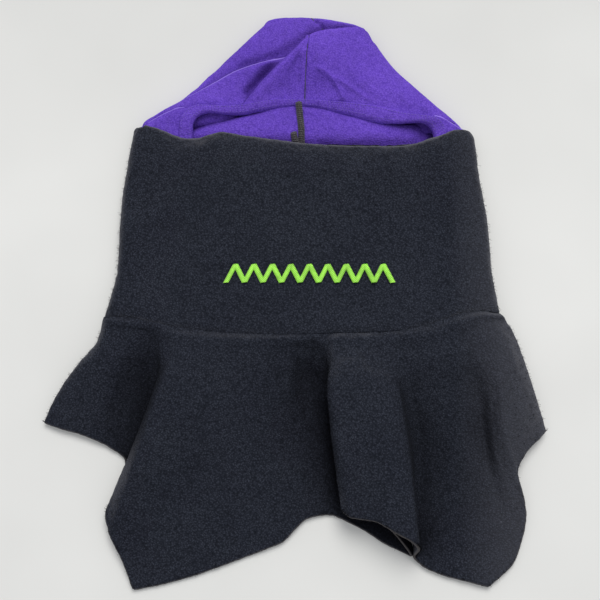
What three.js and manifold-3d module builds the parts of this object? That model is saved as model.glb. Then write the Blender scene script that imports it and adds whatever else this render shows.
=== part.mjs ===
// A fleece balaclava lying flat: a two-panel hood, a double collar that pulls up over the face,
// and a loose bib. Millimetres, +Z up, +Y towards the crown, origin on the ground under the
// middle of the footprint. Every seam keeps a small gap, so each sewn piece is its own solid.
import * as THREE from "three";
import { mergeVertices } from "three/addons/utils/BufferGeometryUtils.js";
import Module from "manifold-3d";

const wasm = await Module();
wasm.setup();

// Cloth
const FLEECE = 2.2;
const GAP = 0.3;
const SEAM_SPLIT = 0.4;
const OVERLOCK = 1.5;

// Collar: a flattened tube, wider at the shoulders than at the face
const COLLAR_TOP_Y = 107.7;
const COLLAR_BOTTOM_Y = -33.7;
const COLLAR_HEIGHT = 20;
const COLLAR_CORNER = 9.6;
const COLLAR_TOP_HALF = 127.5;
const COLLAR_BOTTOM_HALF = 142;
const COLLAR_TOP_MIDDLE = 8.5;
const COLLAR_BOTTOM_MIDDLE = 5.5;
const COLLAR_STEPS = 6;
const LINING_INSET = FLEECE + 1.1;
const SEAM_INSET = LINING_INSET + FLEECE + GAP;
const NECK_SEAM_TOP_Z = 11;
const NECK_SEAM_LENGTH = 8;
const BIB_SEAM_LENGTH = 6;
const BACK_SEAM_X = 5;
const BACK_SEAM_WIDTH = 6;

// Hood: a pouch whose top sheet is cut away for the face
const HOOD_HEIGHT = 16;
const HOOD_BASE_Y = 108.3;
const HOOD_CROWN_Y = 209.5;
const HOOD_ROUND = 5;
const HOOD_INSET = 2.8;
const HOOD_LEVELS = 8;
const NECK_MARGIN = 8;
const HOOD_MIDDLE_X = 7;
const HOOD_LEFT_SLOPE = [[-117, HOOD_BASE_Y], [-104, 132], [-76, 150], [-45, 181], [-24, 204]];
const HOOD_CROWN = [[-4, HOOD_CROWN_Y], [21, HOOD_CROWN_Y - 0.5], [46, HOOD_CROWN_Y - 5]];
const HOOD_RIGHT_SLOPE = [[55, 201], [62, 186], [88, 153], [112, 132], [133, HOOD_BASE_Y]];

// Face opening and its turned band
const FACE_LEFT_X = -75;
const FACE_RIGHT_X = 105;
const FACE_TOP_LEFT_Y = 134;
const FACE_TOP_RIGHT_Y = 124;
const FACE_CORNER = 14;
const BAND_WIDTH = 10;
const BAND_THICKNESS = 2 * FLEECE;
const STITCH_WIDTH = 0.8;
const STITCH_HEIGHT = 0.5;
const STITCH_ROWS = { inner: 3.2, outer: 7.6 };

// Embroidery: a plain zigzag stripe on the front of the collar
const MOTIF_CENTRE = [11, 7];
const MOTIF_LENGTH = 118;
const MOTIF_HEIGHT = 13;
const MOTIF_STROKE = 3.6;
const MOTIF_PEAKS = 9;
const MOTIF_THICKNESS = 0.3;
const BACKING_MARGIN = 5;
const BACKING_THICKNESS = 0.5;

// Bib: one sheet with a round neck hole, folded at both shoulders
const BIB_TOP_Y = -34.6;
const BIB_AROUND = 84;
const BIB_ALONG = 9;
const BIB_BACK_Z = FLEECE / 2;

const colours = {
  purple: new THREE.MeshStandardMaterial({ color: 0x6442b8, roughness: 0.95, metalness: 0 }),
  black: new THREE.MeshStandardMaterial({ color: 0x23262f, roughness: 0.95, metalness: 0 }),
  blackThread: new THREE.MeshStandardMaterial({ color: 0x3c3a40, roughness: 0.7, metalness: 0 }),
  purpleThread: new THREE.MeshStandardMaterial({ color: 0x7452c8, roughness: 0.7, metalness: 0 }),
  lime: new THREE.MeshStandardMaterial({ color: 0xa8ee52, roughness: 0.45, metalness: 0 }),
  backing: new THREE.MeshStandardMaterial({ color: 0xe8e6e0, roughness: 0.9, metalness: 0 }),
};

// Axis frames for shapes that are not drawn in plan
const ALONG_MINUS_Y = new THREE.Matrix4().makeBasis(
  new THREE.Vector3(1, 0, 0),
  new THREE.Vector3(0, 0, 1),
  new THREE.Vector3(0, -1, 0),
);
const ALONG_X = new THREE.Matrix4().makeBasis(
  new THREE.Vector3(0, 1, 0),
  new THREE.Vector3(0, 0, 1),
  new THREE.Vector3(1, 0, 0),
);

const garment = new THREE.Group();

function toSolid(geometry) {
  const bare = geometry.clone();
  bare.deleteAttribute("normal");
  bare.deleteAttribute("uv");
  const merged = mergeVertices(bare, 1e-4);
  return new wasm.Manifold(new wasm.Mesh({
    numProp: 3,
    vertProperties: new Float32Array(merged.attributes.position.array),
    triVerts: new Uint32Array(merged.index.array),
  }));
}

function toGeometry(solid) {
  const mesh = solid.getMesh();
  const geometry = new THREE.BufferGeometry();
  geometry.setAttribute("position", new THREE.BufferAttribute(mesh.vertProperties, 3));
  geometry.setIndex(new THREE.BufferAttribute(mesh.triVerts, 1));
  geometry.computeVertexNormals();
  return geometry;
}

function addPiece(name, geometry, material) {
  const mesh = new THREE.Mesh(geometry, material);
  mesh.name = name;
  garment.add(mesh);
}

function plate(shape, bottom, top, curveSegments = 6) {
  const geometry = new THREE.ExtrudeGeometry(shape, {
    depth: top - bottom,
    bevelEnabled: false,
    curveSegments,
  });
  return geometry.translate(0, 0, bottom);
}

function block(lowX, lowY, lowZ, highX, highY, highZ) {
  const geometry = new THREE.BoxGeometry(highX - lowX, highY - lowY, highZ - lowZ);
  return toSolid(geometry.translate((lowX + highX) / 2, (lowY + highY) / 2, (lowZ + highZ) / 2));
}

// ---- Collar ----

function drawRoundedBox(path, half, bottom, top, radius) {
  path.moveTo(-half + radius, bottom);
  path.lineTo(half - radius, bottom);
  path.absarc(half - radius, bottom + radius, radius, -Math.PI / 2, 0, false);
  path.lineTo(half, top - radius);
  path.absarc(half - radius, top - radius, radius, 0, Math.PI / 2, false);
  path.lineTo(-half + radius, top);
  path.absarc(-half + radius, top - radius, radius, Math.PI / 2, Math.PI, false);
  path.lineTo(-half, bottom + radius);
  path.absarc(-half + radius, bottom + radius, radius, Math.PI, 1.5 * Math.PI, false);
  return path;
}

function collarBox(path, inset) {
  const radius = Math.max(COLLAR_CORNER - inset, 1.5);
  const half = COLLAR_BOTTOM_HALF - inset;
  return drawRoundedBox(path, half, inset, COLLAR_HEIGHT - inset, radius);
}

function taperLikeCollar(geometry) {
  const position = geometry.attributes.position;
  const length = COLLAR_TOP_Y - COLLAR_BOTTOM_Y;
  for (let i = 0; i < position.count; i += 1) {
    const up = (position.getY(i) - COLLAR_BOTTOM_Y) / length;
    const half = THREE.MathUtils.lerp(COLLAR_BOTTOM_HALF, COLLAR_TOP_HALF, up);
    const middle = THREE.MathUtils.lerp(COLLAR_BOTTOM_MIDDLE, COLLAR_TOP_MIDDLE, up);
    position.setX(i, middle + (position.getX(i) * half) / COLLAR_BOTTOM_HALF);
  }
  return geometry;
}

function collarRing(inset, thickness, bottomY, topY, steps) {
  const shape = collarBox(new THREE.Shape(), inset);
  shape.holes.push(collarBox(new THREE.Path(), inset + thickness));
  const depth = topY - bottomY;
  const tube = new THREE.ExtrudeGeometry(shape, { depth, steps, bevelEnabled: false, curveSegments: 5 });
  return taperLikeCollar(tube.applyMatrix4(ALONG_MINUS_Y).translate(0, topY, 0));
}

function addCollar() {
  const shell = collarRing(0, FLEECE, COLLAR_BOTTOM_Y, COLLAR_TOP_Y, COLLAR_STEPS);
  addPiece("collar_shell", shell, colours.black);
  const lining = collarRing(LINING_INSET, FLEECE, COLLAR_BOTTOM_Y, COLLAR_TOP_Y, COLLAR_STEPS);
  addPiece("collar_lining", lining, colours.black);
}

function addCollarSeams() {
  const neckBottomY = COLLAR_TOP_Y - NECK_SEAM_LENGTH;
  const neck = toSolid(collarRing(SEAM_INSET, OVERLOCK, neckBottomY, COLLAR_TOP_Y, 1));
  const reach = 2 * COLLAR_BOTTOM_HALF;
  const front = block(-reach, neckBottomY - 1, NECK_SEAM_TOP_Z, reach, COLLAR_TOP_Y + 1, COLLAR_HEIGHT);
  addPiece("neck_seam", toGeometry(neck.subtract(front)), colours.blackThread);

  const bibTopY = COLLAR_BOTTOM_Y + BIB_SEAM_LENGTH;
  const bibSeam = collarRing(SEAM_INSET, OVERLOCK, COLLAR_BOTTOM_Y, bibTopY, 1);
  addPiece("bib_seam", bibSeam, colours.blackThread);

  const ridge = new THREE.Shape();
  drawRoundedBox(ridge, BACK_SEAM_WIDTH / 2, SEAM_INSET, SEAM_INSET + OVERLOCK, OVERLOCK / 2 - 0.01);
  const length = neckBottomY - bibTopY - 2 * GAP;
  const back = new THREE.ExtrudeGeometry(ridge, { depth: length, bevelEnabled: false, curveSegments: 4 });
  back.applyMatrix4(ALONG_MINUS_Y).translate(BACK_SEAM_X, neckBottomY - GAP, 0);
  addPiece("collar_back_seam", back, colours.blackThread);
}

// ---- Hood ----

function hoodOutline() {
  const points = [...HOOD_LEFT_SLOPE, ...HOOD_CROWN, ...HOOD_RIGHT_SLOPE];
  const shape = new THREE.Shape();
  shape.moveTo(...points[0]);
  shape.splineThru(points.slice(1).map(([x, y]) => new THREE.Vector2(x, y)));
  return shape;
}

// The hood's outline drawn in by an inset, and drawn in further near its lower and upper faces.
function hoodPillow(inset, bottom, top, round) {
  const height = top - bottom;
  const pillow = new THREE.ExtrudeGeometry(hoodOutline(), {
    depth: height,
    steps: HOOD_LEVELS,
    bevelEnabled: false,
    curveSegments: 4,
  });
  const width = HOOD_RIGHT_SLOPE.at(-1)[0] - HOOD_LEFT_SLOPE[0][0];
  const length = HOOD_CROWN_Y - HOOD_BASE_Y;
  const position = pillow.attributes.position;
  for (let i = 0; i < position.count; i += 1) {
    const z = position.getZ(i);
    const short = THREE.MathUtils.clamp(round - Math.min(z, height - z), 0, round);
    const drawnIn = inset + round - Math.sqrt(round * round - short * short);
    const x = HOOD_MIDDLE_X + (position.getX(i) - HOOD_MIDDLE_X) * (1 - (2 * drawnIn) / width);
    const y = HOOD_BASE_Y + (position.getY(i) - HOOD_BASE_Y) * (1 - drawnIn / length);
    position.setXYZ(i, x, y, z + bottom);
  }
  return toSolid(pillow);
}

function faceOutline(grow) {
  const left = FACE_LEFT_X - grow;
  const right = FACE_RIGHT_X + grow;
  const topLeft = FACE_TOP_LEFT_Y + grow;
  const topRight = FACE_TOP_RIGHT_Y + grow;
  const corner = FACE_CORNER + grow;
  const below = HOOD_BASE_Y - 20;
  const shape = new THREE.Shape();
  shape.moveTo(left, below);
  shape.lineTo(left, topLeft - corner);
  shape.quadraticCurveTo(left, topLeft, left + corner, topLeft);
  shape.lineTo(right - corner, topRight);
  shape.quadraticCurveTo(right, topRight, right, topRight - corner);
  shape.lineTo(right, below);
  return shape;
}

function faceArch(innerGrow, outerGrow, bottom, top) {
  const outer = toSolid(plate(faceOutline(outerGrow), bottom, top));
  const inner = toSolid(plate(faceOutline(innerGrow), bottom - 1, top + 1));
  const belowHood = block(-300, -300, bottom - 1, 300, HOOD_BASE_Y, top + 1);
  return outer.subtract(inner).subtract(belowHood);
}

function splitAtMiddle(solid) {
  const edge = SEAM_SPLIT / 2;
  const left = block(-300, -300, -50, HOOD_MIDDLE_X - edge, 300, 100);
  const right = block(HOOD_MIDDLE_X + edge, -300, -50, 300, 300, 100);
  return { left: toGeometry(solid.intersect(left)), right: toGeometry(solid.intersect(right)) };
}

function addHood() {
  const outer = hoodPillow(0, 0, HOOD_HEIGHT, HOOD_ROUND);
  const pocket = hoodPillow(HOOD_INSET, FLEECE, HOOD_HEIGHT - FLEECE, HOOD_ROUND - FLEECE);
  const neckShape = new THREE.Shape();
  const neckLeft = HOOD_LEFT_SLOPE[0][0] + NECK_MARGIN;
  const neckRight = HOOD_RIGHT_SLOPE.at(-1)[0] - NECK_MARGIN;
  neckShape.moveTo(neckLeft, HOOD_BASE_Y - 1);
  neckShape.lineTo(neckRight, HOOD_BASE_Y - 1);
  neckShape.lineTo(neckRight - NECK_MARGIN, HOOD_BASE_Y + 1);
  neckShape.lineTo(neckLeft + NECK_MARGIN, HOOD_BASE_Y + 1);
  const neck = toSolid(plate(neckShape, FLEECE, HOOD_HEIGHT - FLEECE));
  const faceHole = toSolid(plate(faceOutline(BAND_WIDTH + GAP), HOOD_HEIGHT / 2, HOOD_HEIGHT + 1));
  const panels = splitAtMiddle(outer.subtract(pocket).subtract(neck).subtract(faceHole));
  addPiece("hood_left_panel", panels.left, colours.purple);
  addPiece("hood_right_panel", panels.right, colours.purple);
}

function addHoodSeam() {
  const bottom = FLEECE + GAP;
  const top = HOOD_HEIGHT - FLEECE - GAP;
  const turnZ = (bottom + top) / 2;
  const turn = (top - bottom) / 2;
  const turnY = HOOD_CROWN_Y - HOOD_INSET - 4 - turn;
  const frontY = FACE_TOP_LEFT_Y + BAND_WIDTH + 3;
  const hook = new THREE.Shape();
  hook.moveTo(HOOD_BASE_Y + 1, bottom);
  hook.lineTo(turnY, bottom);
  hook.absarc(turnY, turnZ, turn, -Math.PI / 2, Math.PI / 2, false);
  hook.lineTo(frontY, top);
  hook.lineTo(frontY, top - OVERLOCK);
  hook.lineTo(turnY, top - OVERLOCK);
  hook.absarc(turnY, turnZ, turn - OVERLOCK, Math.PI / 2, -Math.PI / 2, true);
  hook.lineTo(HOOD_BASE_Y + 1, bottom + OVERLOCK);
  const width = 5;
  const seam = new THREE.ExtrudeGeometry(hook, { depth: width, bevelEnabled: false, curveSegments: 8 });
  seam.applyMatrix4(ALONG_X).translate(HOOD_MIDDLE_X - width / 2, 0, 0);
  addPiece("hood_center_seam", seam, colours.blackThread);
}

function addFaceBand() {
  const band = faceArch(0, BAND_WIDTH, HOOD_HEIGHT - BAND_THICKNESS, HOOD_HEIGHT);
  const halves = splitAtMiddle(band);
  addPiece("face_hem_left", halves.left, colours.purple);
  addPiece("face_hem_right", halves.right, colours.purple);
  const bottom = HOOD_HEIGHT + GAP;
  for (const [row, grow] of Object.entries(STITCH_ROWS)) {
    const stitches = faceArch(grow, grow + STITCH_WIDTH, bottom, bottom + STITCH_HEIGHT);
    addPiece(`face_hem_stitch_${row}`, toGeometry(stitches), colours.purpleThread);
  }
}

// ---- Embroidery ----

function zigzagShape() {
  const [middleX, middleY] = MOTIF_CENTRE;
  const points = [];
  for (let i = 0; i <= MOTIF_PEAKS * 2; i += 1) {
    const x = middleX + MOTIF_LENGTH * (i / (MOTIF_PEAKS * 2) - 0.5);
    const y = middleY + (i % 2 ? 0.5 : -0.5) * (MOTIF_HEIGHT - MOTIF_STROKE);
    points.push([x, y]);
  }
  const upper = points.map(([x, y]) => new THREE.Vector2(x, y + MOTIF_STROKE / 2));
  const lower = points.map(([x, y]) => new THREE.Vector2(x, y - MOTIF_STROKE / 2));
  return new THREE.Shape([...upper, ...lower.reverse()]);
}

function addEmbroidery() {
  const bottom = COLLAR_HEIGHT + GAP;
  addPiece("embroidered_motif", plate(zigzagShape(), bottom, bottom + MOTIF_THICKNESS), colours.lime);
  const halfX = MOTIF_LENGTH / 2 + BACKING_MARGIN;
  const halfY = MOTIF_HEIGHT / 2 + BACKING_MARGIN;
  const sheet = drawRoundedBox(new THREE.Shape(), halfX, -halfY, halfY, BACKING_MARGIN);
  const backingZ = COLLAR_HEIGHT - FLEECE - GAP - BACKING_THICKNESS;
  const backing = plate(sheet, backingZ, backingZ + BACKING_THICKNESS);
  backing.translate(MOTIF_CENTRE[0], MOTIF_CENTRE[1], 0);
  addPiece("embroidery_backing", backing, colours.backing);
}

// ---- Bib ----

// Both rings start at the left shoulder fold, cross the front, and come back under the garment.
const NECK_RING = [
  [-135.4, BIB_TOP_Y, 10], [-124, BIB_TOP_Y, 18.4], [-70, BIB_TOP_Y, 18.9], [-10, BIB_TOP_Y, 18.9],
  [45, BIB_TOP_Y, 18.9], [92, BIB_TOP_Y, 18.9], [134, BIB_TOP_Y, 18.4], [146.4, BIB_TOP_Y, 10],
  [134, BIB_TOP_Y, 1.6], [92, BIB_TOP_Y, BIB_BACK_Z], [45, BIB_TOP_Y, BIB_BACK_Z],
  [-10, BIB_TOP_Y, BIB_BACK_Z], [-70, BIB_TOP_Y, BIB_BACK_Z], [-124, BIB_TOP_Y, 1.6],
];
const HEM_RING = [
  [-175.4, -97, 4.6], [-128, -118, 9], [-110, -207.3, 5], [-12, -180, 9],
  [42, -163, 21], [84, -184, 17], [134, -206, 5], [175.6, -104, 4.6],
  [150, -138, 1.2], [118, -192, BIB_BACK_Z], [60, -172, BIB_BACK_Z],
  [-12, -172, BIB_BACK_Z], [-94, -190, BIB_BACK_Z], [-132, -124, 1.2],
];

function ringCurve(points) {
  const vectors = points.map(([x, y, z]) => new THREE.Vector3(x, y, z));
  return new THREE.CatmullRomCurve3(vectors, true, "centripetal");
}

function bibGeometry() {
  const neck = ringCurve(NECK_RING);
  const hem = ringCurve(HEM_RING);
  const middle = (i, j) => {
    const around = (i + BIB_AROUND) % BIB_AROUND;
    return neck.getPoint(around / BIB_AROUND).lerp(hem.getPoint(around / BIB_AROUND), j / BIB_ALONG);
  };
  const normal = (i, j) => {
    const around = middle(i + 1, j).sub(middle(i - 1, j));
    const along = middle(i, BIB_ALONG).sub(middle(i, 0));
    return around.cross(along).normalize();
  };
  const vertices = [];
  for (const side of [-0.5, 0.5]) {
    for (let j = 0; j <= BIB_ALONG; j += 1) {
      for (let i = 0; i < BIB_AROUND; i += 1) {
        const point = middle(i, j).addScaledVector(normal(i, j), side * FLEECE);
        vertices.push(point.x, point.y, Math.max(point.z, 0));
      }
    }
  }
  const layer = (BIB_ALONG + 1) * BIB_AROUND;
  const at = (side, i, j) => side * layer + j * BIB_AROUND + (i % BIB_AROUND);
  const faces = [];
  const quad = (a, b, c, d) => faces.push(a, b, c, a, c, d);
  for (let i = 0; i < BIB_AROUND; i += 1) {
    for (let j = 0; j < BIB_ALONG; j += 1) {
      quad(at(0, i, j), at(0, i, j + 1), at(0, i + 1, j + 1), at(0, i + 1, j));
      quad(at(1, i, j), at(1, i + 1, j), at(1, i + 1, j + 1), at(1, i, j + 1));
    }
    quad(at(0, i, 0), at(0, i + 1, 0), at(1, i + 1, 0), at(1, i, 0));
    quad(at(0, i, BIB_ALONG), at(1, i, BIB_ALONG), at(1, i + 1, BIB_ALONG), at(0, i + 1, BIB_ALONG));
  }
  const geometry = new THREE.BufferGeometry();
  geometry.setAttribute("position", new THREE.Float32BufferAttribute(vertices, 3));
  geometry.setIndex(faces);
  geometry.computeVertexNormals();
  return geometry;
}

addHood();
addHoodSeam();
addFaceBand();
addCollar();
addCollarSeams();
addEmbroidery();
addPiece("bib", bibGeometry(), colours.black);

export default garment;
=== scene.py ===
import math

import bpy
import numpy as np
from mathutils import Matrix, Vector


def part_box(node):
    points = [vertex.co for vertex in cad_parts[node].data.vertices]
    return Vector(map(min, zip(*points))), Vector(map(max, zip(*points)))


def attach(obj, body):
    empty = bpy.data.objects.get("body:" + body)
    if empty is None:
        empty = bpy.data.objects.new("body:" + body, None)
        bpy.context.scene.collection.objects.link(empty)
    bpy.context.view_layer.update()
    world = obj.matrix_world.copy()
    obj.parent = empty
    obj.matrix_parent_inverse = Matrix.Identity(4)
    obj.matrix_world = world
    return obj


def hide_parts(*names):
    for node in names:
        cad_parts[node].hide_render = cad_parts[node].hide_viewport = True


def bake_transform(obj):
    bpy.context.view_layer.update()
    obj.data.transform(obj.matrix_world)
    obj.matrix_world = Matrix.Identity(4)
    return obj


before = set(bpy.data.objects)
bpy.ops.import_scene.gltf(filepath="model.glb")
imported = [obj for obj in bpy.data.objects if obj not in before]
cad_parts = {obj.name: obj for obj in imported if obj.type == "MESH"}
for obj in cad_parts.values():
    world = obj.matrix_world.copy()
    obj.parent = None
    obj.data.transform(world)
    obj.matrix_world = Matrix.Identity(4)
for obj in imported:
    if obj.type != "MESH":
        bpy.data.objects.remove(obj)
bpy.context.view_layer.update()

# The garment is in millimetres until its meshes are made; stage and light are in metres.
MM = 0.001
UP = np.array([0.0, 0.0, 1.0])

FLEECE = 2.2  # one layer of cloth
FINE_NUB, COARSE_NUB = 2.1, 4.7  # sizes of the pile's nubs
FRAY, FRAY_SIZE = 0.25, 1.7  # unevenness of a rounded edge


def cad_box(node):
    return [np.array(corner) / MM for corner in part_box(node)]


# ---- curves and sheets

def beside_knots(spans, closed):
    """The span before and the span after each knot."""
    first, last = (spans[-1:], spans[:1]) if closed else (spans[:1], spans[-1:])
    return np.concatenate([first, spans]), np.concatenate([spans, last])


def slopes_at(knots, values, closed):
    """Slope of each span, and a smooth slope at each knot that never overshoots."""
    if closed:
        values = np.concatenate([values, values[:1]])
    step = np.diff(knots)[:, None]
    span = np.diff(values, axis=0) / step
    before, after = beside_knots(span, closed)
    width_before, width_after = beside_knots(step, closed)
    weight_1 = 2 * width_after + width_before
    weight_2 = width_after + 2 * width_before
    with np.errstate(divide="ignore", invalid="ignore"):
        mean = (weight_1 + weight_2) / (weight_1 / before + weight_2 / after)
    smooth = np.where(before * after > 0, mean, 0.0)
    return values, span, np.nan_to_num(smooth)


def spline(knots, values, at, closed=False, sharp=()):
    """Cubic through values at knots; the knots in sharp keep a corner."""
    knots = np.asarray(knots, float)
    shape = values.shape[1:]
    flat = np.asarray(values, float).reshape(len(values), -1)
    points, span, smooth = slopes_at(knots, flat, closed)
    leaving, arriving = smooth.copy(), smooth.copy()
    for corner in sharp:
        leaving[corner] = span[min(corner, len(span) - 1)]
        arriving[corner] = span[corner - 1]
    index = np.clip(np.searchsorted(knots, at, side="right") - 1, 0, len(knots) - 2)
    width = (knots[index + 1] - knots[index])[:, None]
    t = ((at - knots[index])[:, None]) / width
    start, end = points[index], points[index + 1]
    result = (
        (2 * t**3 - 3 * t**2 + 1) * start
        + (t**3 - 2 * t**2 + t) * width * leaving[index]
        + (-2 * t**3 + 3 * t**2) * end
        + (t**3 - t**2) * width * arriving[index + 1]
    )
    return result.reshape((len(at),) + shape)


def chord_knots(points, floor=0.0):
    """Running length along a line, or its mean over a row of lines."""
    gaps = np.linalg.norm(np.diff(points, axis=0), axis=-1)
    if gaps.ndim > 1:
        gaps = gaps.mean(axis=1)
    return np.concatenate([[0.0], np.cumsum(np.maximum(gaps, floor))])


def smooth_path(points, count):
    """A smooth curve through a few points, as count points."""
    points = np.asarray(points, float)
    knots = chord_knots(points, 0.01)
    return spline(knots, points, np.linspace(0, knots[-1], count))


def resample(path, spacing):
    knots = chord_knots(path)
    count = max(2, int(knots[-1] / spacing))
    at = np.linspace(0, knots[-1], count)
    return np.stack([np.interp(at, knots, path[:, k]) for k in range(3)], axis=1)


def curve_value(points, at):
    """Height, at the given places, of a curve through (place, height) points."""
    points = np.asarray(points, float)
    at = np.asarray(at, float)
    flat = spline(points[:, 0], points[:, 1:], np.clip(at.ravel(), points[0, 0], points[-1, 0]))
    return flat[:, 0].reshape(at.shape)


def guided_sheet(guides, columns, rows, closed=False, sharp=()):
    """A grid of points through guide lines, which run from row 0 to the last row."""
    lines = np.stack([smooth_path(guide, rows) for guide in guides])
    ring = np.concatenate([lines, lines[:1]]) if closed else lines
    knots = chord_knots(ring, 1.0)
    at = np.linspace(0, knots[-1], columns, endpoint=not closed)
    return spline(knots, lines, at, closed, sharp)


def unit(vectors):
    return vectors / np.maximum(np.linalg.norm(vectors, axis=-1, keepdims=True), 1e-9)


def grid_normals(grid, closed):
    if closed:
        across = np.roll(grid, -1, axis=0) - np.roll(grid, 1, axis=0)
    else:
        across = np.gradient(grid, axis=0)
    along = np.gradient(grid, axis=1)
    normal = unit(np.cross(along, across))
    for _ in range(3):
        if closed:
            normal = normal + np.roll(normal, 1, axis=0) + np.roll(normal, -1, axis=0)
        else:
            padded = np.concatenate([normal[:1], normal, normal[-1:]])
            normal = padded[:-2] + padded[1:-1] + padded[2:]
        normal = unit(normal)
    return normal


def path_distance(points, path):
    path = np.asarray(path, float)
    nearest = np.full(points.shape[:-1], 1e9)
    for a, b in zip(path[:-1], path[1:]):
        t = np.clip(((points - a) @ (b - a)) / max((b - a) @ (b - a), 1e-9), 0, 1)
        away = np.linalg.norm(points - a - t[..., None] * (b - a), axis=-1)
        nearest = np.minimum(nearest, away)
    return nearest


def crease(grid, path, height, width, above=-9.0):
    """A soft ridge (or, with a negative height, a hollow) along a plan-view line.

    Only the part of the sheet higher than above is moved."""
    soft_start = 2.5
    away = path_distance(grid[..., :2], path)
    share = np.clip((grid[..., 2] - above) / soft_start, 0, 1)
    grid[..., 2] += share * height * np.exp(-((away / width) ** 2))


def crease_all(grid, creases, above=-9.0):
    for path, height, width in creases:
        crease(grid, path, height, width, above)


# ---- noise

HASH_FACTORS = (374761393, 668265263, 2147483647)
HASH_SEED, HASH_MIX = 144665, 1274126177


def lattice(cells, seed):
    """A fixed number from -1 to 1 for each whole-numbered cell."""
    mixed = seed * HASH_SEED + sum(cells[..., k] * factor for k, factor in enumerate(HASH_FACTORS))
    mixed &= 0xFFFFFFFF
    mixed = ((mixed ^ (mixed >> 13)) * HASH_MIX) & 0xFFFFFFFF
    return ((mixed ^ (mixed >> 16)) & 0xFFFF) / 32767.5 - 1.0


def value_noise(points, size, seed=0):
    """Smooth noise from -1 to 1 with blobs about size millimetres across."""
    scaled = np.asarray(points, float) / size
    cell = np.floor(scaled).astype(np.int64)
    part = scaled - cell
    part = part * part * (3 - 2 * part)
    total = np.zeros(scaled.shape[:-1])
    for corner in np.ndindex(2, 2, 2):
        corner = np.array(corner)
        weight = np.prod(np.where(corner, part, 1 - part), axis=-1)
        total += weight * lattice(cell + corner, seed)
    return total


# ---- meshes

def rim(top, bottom, outward, segments):
    """Rows of points that round the edge between a top and a bottom loop."""
    middle, half = (top + bottom) / 2, (top - bottom) / 2
    reach = np.linalg.norm(half, axis=-1, keepdims=True) * outward
    angles = np.linspace(0, math.pi, segments + 1)[1:-1]
    return [middle + half * math.cos(a) + reach * math.sin(a) for a in angles]


def boundary_loops(ids, closed):
    """Point numbers round each edge of a sheet, with those one step in from them."""
    if closed:
        return [(ids[:, 0], ids[:, 1]), (ids[::-1, -1], ids[::-1, -2])]
    edge = ids[:-1, 0], ids[-1, :-1], ids[:0:-1, -1], ids[0, :0:-1]
    inward = ids[:-1, 1], ids[-2, :-1], ids[:0:-1, -2], ids[1, :0:-1]
    return [(np.concatenate(edge), np.concatenate(inward))]


def quads(a, b, c, d):
    return np.stack([a, b, c, d], axis=-1).reshape(-1, 4).tolist()


def sheet_faces(ids, closed):
    """Quads of a sheet's outer face and, numbered on from it, of its inner face."""
    ring = np.concatenate([ids, ids[:1]]) if closed else ids
    a, b, c, d = ring[:-1, :-1], ring[1:, :-1], ring[1:, 1:], ring[:-1, 1:]
    count = ids.size
    pairs = zip(quads(a, d, c, b), quads(a + count, b + count, c + count, d + count))
    return [face for pair in pairs for face in pair]


def edge_marks(columns, rows, sewn, edge_tint_and_highlight):
    marks = np.zeros((columns, rows))
    marks[:, :sewn] = np.linspace(-1, 0, sewn)
    # painted highlight: the first columns take the pale edge colour, fading inwards
    marks[:edge_tint_and_highlight] = np.linspace(1, 0.4, edge_tint_and_highlight)[:, None]
    return marks


def thick_sheet(
    grid, thickness, closed=False, segments=4, pile=0.12, seed=0, cut=(0, 1), sewn=0, edge_tint_and_highlight=0
):
    """Gives a sheet its thickness and a rounded edge. The grid is the outer face.

    Its edge value is 1 on the cut edges (of a closed sheet, those listed in cut), which take the pale
    edge colour, and along the first edge_tint_and_highlight columns, where that colour is a painted
    highlight, and -1 at a seam along the first sewn rows."""
    columns, rows = grid.shape[:2]
    ids = np.arange(columns * rows).reshape(columns, rows)
    normal = grid_normals(grid, closed)
    nubs = pile * value_noise(grid, FINE_NUB, seed) + pile * value_noise(grid, COARSE_NUB, seed + 1)
    outer = (grid + normal * nubs[..., None]).reshape(-1, 3)
    inner = (grid - normal * thickness).reshape(-1, 3)
    points = [outer, inner]
    faces = sheet_faces(ids, closed)
    marks = edge_marks(columns, rows, sewn, edge_tint_and_highlight)
    raw_edge_and_highlight = [marks.ravel(), marks.ravel()]
    total = 2 * ids.size
    for number, (loop, inward) in enumerate(boundary_loops(ids, closed)):
        tangent = np.roll(outer[loop], -2, axis=0) - np.roll(outer[loop], 2, axis=0)
        outward = unit(np.cross(tangent, outer[loop] - inner[loop]))
        if np.sum(outward * (outer[loop] - outer[inward])) < 0:
            outward = -outward
        rings = [loop]
        for ring in rim(outer[loop], inner[loop], outward, segments):
            points.append(ring + outward * (FRAY * value_noise(ring, FRAY_SIZE, seed + 2))[:, None])
            rings.append(np.arange(total, total + len(loop)))
            raw_edge_and_highlight.append(np.full(len(loop), 1.0 if number in cut else marks[0, 0] * (number == 0)))
            total += len(loop)
        rings = np.stack(rings + [loop + ids.size])
        after = np.roll(rings, -1, axis=1)
        faces += quads(rings[:-1], after[:-1], after[1:], rings[1:])
    return np.concatenate(points), faces, np.concatenate(raw_edge_and_highlight)


def tube(path, radius, sides=6):
    """A closed round tube along a path, with pointed ends."""
    path = np.asarray(path, float)
    direction = unit(np.gradient(path, axis=0))
    reference = UP if abs(direction[:, 2]).mean() < 0.8 else np.array([1.0, 0.0, 0.0])
    side = unit(np.cross(direction, reference))
    up = np.cross(side, direction)
    angles = np.linspace(0, 2 * math.pi, sides, endpoint=False)
    rings = path[:, None] + radius * (
        np.cos(angles)[None, :, None] * side[:, None] + np.sin(angles)[None, :, None] * up[:, None]
    )
    tips = [path[:1] - direction[:1] * radius, path[-1:] + direction[-1:] * radius]
    points = np.concatenate([rings.reshape(-1, 3)] + tips)
    ids = np.arange(len(path) * sides).reshape(-1, sides)
    after = np.roll(ids, -1, axis=1)
    faces = quads(ids[:-1], ids[1:], after[1:], after[:-1])
    for s in range(sides):
        faces.append((ids.size, ids[0, s], after[0, s]))
        faces.append((ids.size + 1, after[-1, s], ids[-1, s]))
    return points, faces, np.zeros(len(points))


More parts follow.
